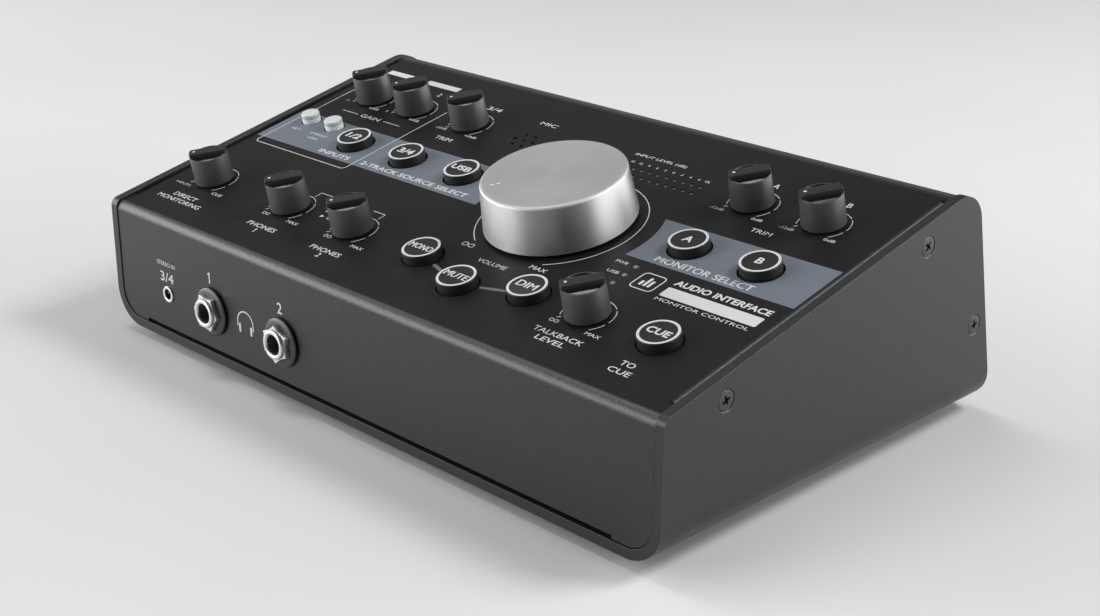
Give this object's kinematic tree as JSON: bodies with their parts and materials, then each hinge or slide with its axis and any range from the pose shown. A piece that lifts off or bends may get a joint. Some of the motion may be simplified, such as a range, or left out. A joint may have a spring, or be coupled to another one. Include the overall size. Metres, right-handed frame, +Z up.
{
  "type": "desktop audio interface",
  "caption": "Wedge-shaped desktop audio interface and monitor controller: folded steel case, large turning volume knob, small level knobs, push buttons, front headphone sockets.",
  "frame": {"origin": "middle of the bounding box in plan, on the surface the feet stand on", "axes": "+X to the right along the width, +Y from the front face to the rear face, +Z up"},
  "size_m": [0.24, 0.1502, 0.0771],
  "materials": {
    "case_paint": "satin dark grey paint",
    "panel_paint": "fine matte black powder paint with pale printed legends",
    "screw_black": "blackened steel",
    "foot_rubber": "matte",
    "board": "solder mask",
    "knob_aluminium": "turned, fine circular grain",
    "bright_metal": "nickel plate",
    "knob_plastic": "satin black with a gloss top",
    "cap_plastic": "satin black",
    "tally_plastic": "milky translucent",
    "socket_plastic": "satin black"
  },
  "bodies": {
    "case": {"base_chassis": "case_paint", "top_shell": "panel_paint", "side_screw_left_front": "screw_black", "side_screw_left_rear_upper": "screw_black", "side_screw_left_rear_lower": "screw_black", "side_screw_right_front": "screw_black", "side_screw_right_rear_upper": "screw_black", "side_screw_right_rear_lower": "screw_black", "foot_front_left": "foot_rubber", "foot_rear_left": "foot_rubber", "foot_front_right": "foot_rubber", "foot_rear_right": "foot_rubber", "control_board": "board", "io_board": "board", "phones_jack_1": "bright_metal", "phones_nut_1": "bright_metal", "phones_collar_1": "socket_plastic", "phones_jack_2": "bright_metal", "phones_nut_2": "bright_metal", "phones_collar_2": "socket_plastic", "line_in_mini_jack": "bright_metal", "combo_input_jack_1": "socket_plastic", "combo_input_jack_2": "socket_plastic", "line_in_jacks": "socket_plastic", "output_a_jacks": "socket_plastic", "output_b_jacks": "socket_plastic", "usb_port": "bright_metal", "dc_inlet": "socket_plastic"},
    "volume": {"volume_knob": "knob_aluminium", "volume_shaft": "bright_metal"},
    "gain_1": {"gain_knob_1": "knob_plastic", "gain_shaft_1": "bright_metal"},
    "gain_2": {"gain_knob_2": "knob_plastic", "gain_shaft_2": "bright_metal"},
    "line_trim": {"line_trim_knob": "knob_plastic", "line_trim_shaft": "bright_metal"},
    "direct_monitor": {"direct_monitor_knob": "knob_plastic", "direct_monitor_shaft": "bright_metal"},
    "phones_level_1": {"phones_level_knob_1": "knob_plastic", "phones_level_shaft_1": "bright_metal"},
    "phones_level_2": {"phones_level_knob_2": "knob_plastic", "phones_level_shaft_2": "bright_metal"},
    "talkback_level": {"talkback_level_knob": "knob_plastic", "talkback_level_shaft": "bright_metal"},
    "output_trim_a": {"output_trim_knob_a": "knob_plastic", "output_trim_shaft_a": "bright_metal"},
    "output_trim_b": {"output_trim_knob_b": "knob_plastic", "output_trim_shaft_b": "bright_metal"},
    "source_12_key": {"source_button_12": "cap_plastic"},
    "source_34_key": {"source_button_34": "cap_plastic"},
    "source_usb_key": {"source_button_usb": "cap_plastic"},
    "mono_key": {"mono_button": "cap_plastic"},
    "mute_key": {"mute_button": "cap_plastic"},
    "dim_key": {"dim_button": "cap_plastic"},
    "output_a_key": {"output_button_a": "cap_plastic"},
    "output_b_key": {"output_button_b": "cap_plastic"},
    "cue_key": {"cue_button": "cap_plastic"},
    "phantom_key": {"phantom_button": "tally_plastic"},
    "instrument_key": {"instrument_button": "tally_plastic"},
    "power_key": {"power_button": "cap_plastic"}
  },
  "joints": [
    {"name": "volume_turn", "type": "hinge", "parent": "case", "child": "volume", "pos_m": [0.0256, -0.01097, 0.05733], "axis": [0, 0.226, -0.9741], "range_deg": [0, 283]},
    {"name": "gain_1_turn", "type": "hinge", "parent": "case", "child": "gain_1", "pos_m": [-0.0975, 0.02167, 0.06489], "axis": [0, 0.226, -0.9741], "range_deg": [0, 280]},
    {"name": "gain_2_turn", "type": "hinge", "parent": "case", "child": "gain_2", "pos_m": [-0.0765, 0.02167, 0.06489], "axis": [0, 0.226, -0.9741], "range_deg": [0, 280]},
    {"name": "line_trim_turn", "type": "hinge", "parent": "case", "child": "line_trim", "pos_m": [-0.0495, 0.02215, 0.06501], "axis": [0, 0.226, -0.9741], "range_deg": [0, 280]},
    {"name": "direct_monitor_turn", "type": "hinge", "parent": "case", "child": "direct_monitor", "pos_m": [-0.099, -0.04506, 0.04942], "axis": [0, 0.226, -0.9741], "range_deg": [0, 280]},
    {"name": "phones_level_1_turn", "type": "hinge", "parent": "case", "child": "phones_level_1", "pos_m": [-0.0587, -0.04487, 0.04946], "axis": [0, 0.226, -0.9741], "range_deg": [0, 280]},
    {"name": "phones_level_2_turn", "type": "hinge", "parent": "case", "child": "phones_level_2", "pos_m": [-0.028, -0.04506, 0.04942], "axis": [0, 0.226, -0.9741], "range_deg": [0, 280]},
    {"name": "talkback_level_turn", "type": "hinge", "parent": "case", "child": "talkback_level", "pos_m": [0.0693, -0.04506, 0.04942], "axis": [0, 0.226, -0.9741], "range_deg": [0, 280]},
    {"name": "output_trim_a_turn", "type": "hinge", "parent": "case", "child": "output_trim_a", "pos_m": [0.0693, 0.02215, 0.06501], "axis": [0, 0.226, -0.9741], "range_deg": [0, 280]},
    {"name": "output_trim_b_turn", "type": "hinge", "parent": "case", "child": "output_trim_b", "pos_m": [0.0943, 0.02215, 0.06501], "axis": [0, 0.226, -0.9741], "range_deg": [0, 280]},
    {"name": "source_12_press", "type": "slide", "parent": "case", "child": "source_12_key", "axis": [0, 0.226, -0.9741], "range_m": [0, 0.0015], "stiffness_N_per_m": 400},
    {"name": "source_34_press", "type": "slide", "parent": "case", "child": "source_34_key", "axis": [0, 0.226, -0.9741], "range_m": [0, 0.0015], "stiffness_N_per_m": 400},
    {"name": "source_usb_press", "type": "slide", "parent": "case", "child": "source_usb_key", "axis": [0, 0.226, -0.9741], "range_m": [0, 0.0015], "stiffness_N_per_m": 400},
    {"name": "mono_press", "type": "slide", "parent": "case", "child": "mono_key", "axis": [0, 0.226, -0.9741], "range_m": [0, 0.0015], "stiffness_N_per_m": 400},
    {"name": "mute_press", "type": "slide", "parent": "case", "child": "mute_key", "axis": [0, 0.226, -0.9741], "range_m": [0, 0.0015], "stiffness_N_per_m": 400},
    {"name": "dim_press", "type": "slide", "parent": "case", "child": "dim_key", "axis": [0, 0.226, -0.9741], "range_m": [0, 0.0015], "stiffness_N_per_m": 400},
    {"name": "output_a_press", "type": "slide", "parent": "case", "child": "output_a_key", "axis": [0, 0.226, -0.9741], "range_m": [0, 0.0015], "stiffness_N_per_m": 400},
    {"name": "output_b_press", "type": "slide", "parent": "case", "child": "output_b_key", "axis": [0, 0.226, -0.9741], "range_m": [0, 0.0015], "stiffness_N_per_m": 400},
    {"name": "cue_press", "type": "slide", "parent": "case", "child": "cue_key", "axis": [0, 0.226, -0.9741], "range_m": [0, 0.0015], "stiffness_N_per_m": 400},
    {"name": "phantom_press", "type": "slide", "parent": "case", "child": "phantom_key", "axis": [0, 0.226, -0.9741], "range_m": [0, 0.0015], "stiffness_N_per_m": 400},
    {"name": "instrument_press", "type": "slide", "parent": "case", "child": "instrument_key", "axis": [0, 0.226, -0.9741], "range_m": [0, 0.0015], "stiffness_N_per_m": 400},
    {"name": "power_press", "type": "slide", "parent": "case", "child": "power_key", "axis": [0, -0.9744, -0.2248], "range_m": [0, 0.0015], "stiffness_N_per_m": 400}
  ]
}
